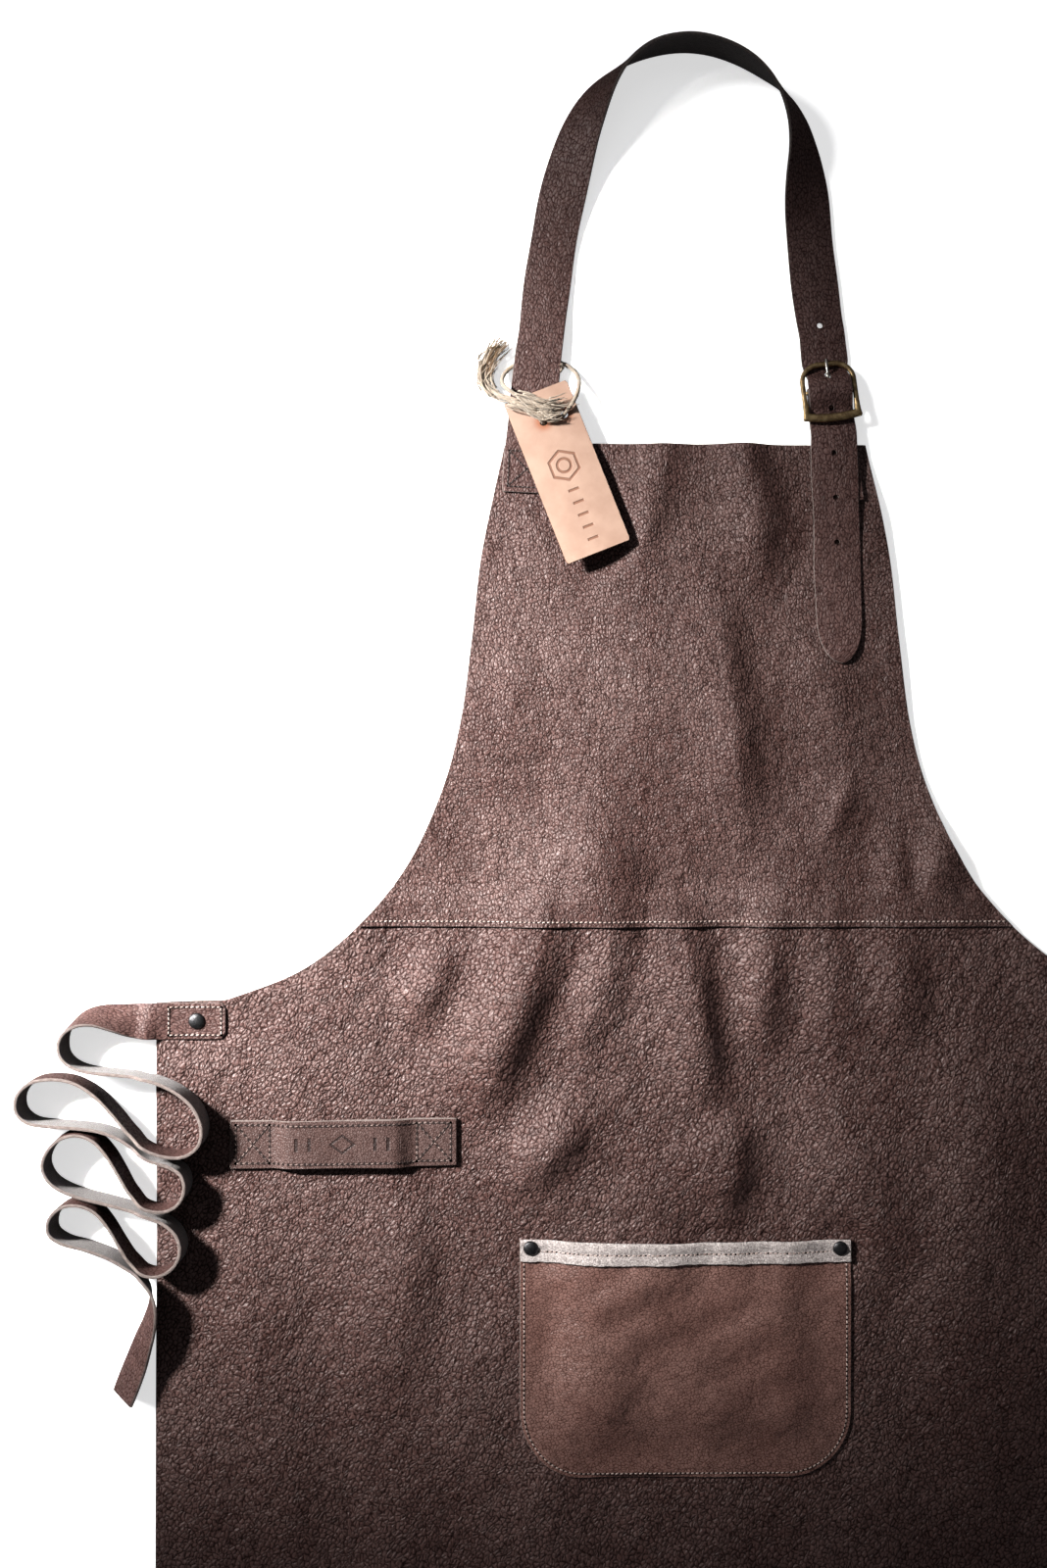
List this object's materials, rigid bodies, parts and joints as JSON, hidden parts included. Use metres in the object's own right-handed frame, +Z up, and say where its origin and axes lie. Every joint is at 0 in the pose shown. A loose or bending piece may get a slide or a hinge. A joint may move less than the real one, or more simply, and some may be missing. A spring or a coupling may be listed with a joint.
{
  "type": "welding apron",
  "caption": "Leather welding apron laid flat: bib and skirt joined at a waist seam, buckled neck strap, folded waist straps, patch pocket, towel loop and swing tag on twine.",
  "frame": {"origin": "centre of the laid-out apron's plan, on the table it lies on", "axes": "+Y from the hem to the neck strap, +X across to the buckle side, +Z up out of the apron's face"},
  "size_m": [0.8168, 1.1004, 0.0282],
  "materials": {
    "panel_leather": "pebbled full-grain leather, semi-matt",
    "strap_leather": "smooth oiled strap leather, satin",
    "pocket_leather": "fine-grained leather, satin",
    "pale_thread": "waxed sewing thread",
    "dark_thread": "waxed sewing thread",
    "rivet_steel": "gunmetal plated, satin",
    "antique_brass": "antique, dark in the recesses",
    "nickel_steel": "nickel plated",
    "tag_leather": "natural vegetable-tanned, smooth",
    "twine": "soft frayed natural twine"
  },
  "bodies": {
    "skirt": {"skirt_panel": "panel_leather", "pocket_panel": "pocket_leather", "pocket_thread": "pale_thread", "pocket_hem_thread": "pale_thread", "pocket_rivet_caps": "rivet_steel", "pocket_rivet_posts": "rivet_steel", "towel_loop_front": "pocket_leather", "towel_loop_back": "pocket_leather", "towel_loop_thread": "pale_thread", "waist_strap_left": "strap_leather", "waist_strap_right": "strap_leather", "waist_thread_left": "pale_thread", "waist_thread_right": "pale_thread", "waist_rivet_caps": "rivet_steel", "waist_rivet_posts": "rivet_steel"},
    "bib": {"bib_panel": "panel_leather", "seam_thread": "pale_thread", "neck_strap": "strap_leather", "neck_strap_thread": "dark_thread", "buckle_chape": "strap_leather", "chape_thread": "dark_thread"},
    "buckle": {"buckle_frame": "antique_brass"},
    "prong": {"buckle_prong": "nickel_steel"},
    "tag": {"hang_tag": "tag_leather", "tag_cord": "twine"}
  },
  "joints": [
    {"name": "bib_fold", "type": "hinge", "parent": "skirt", "child": "bib", "pos_m": [0, 0.00975, 0.00445], "axis": [1, 0, 0], "range_deg": [0, 170]},
    {"name": "buckle_tilt", "type": "hinge", "parent": "bib", "child": "buckle", "pos_m": [0.0882, 0.33805, 0.0068], "axis": [0.9945, 0.1045, 0], "range_deg": [0, 4]},
    {"name": "prong_lift", "type": "hinge", "parent": "buckle", "child": "prong", "pos_m": [0.0882, 0.33805, 0.0068], "axis": [0.9945, 0.1045, 0], "range_deg": [0, 8]},
    {"name": "tag_swing", "type": "hinge", "parent": "bib", "child": "tag", "pos_m": [-0.092, 0.34275, 0.004], "axis": [0, 0, 1], "range_deg": [-20, 20]}
  ]
}
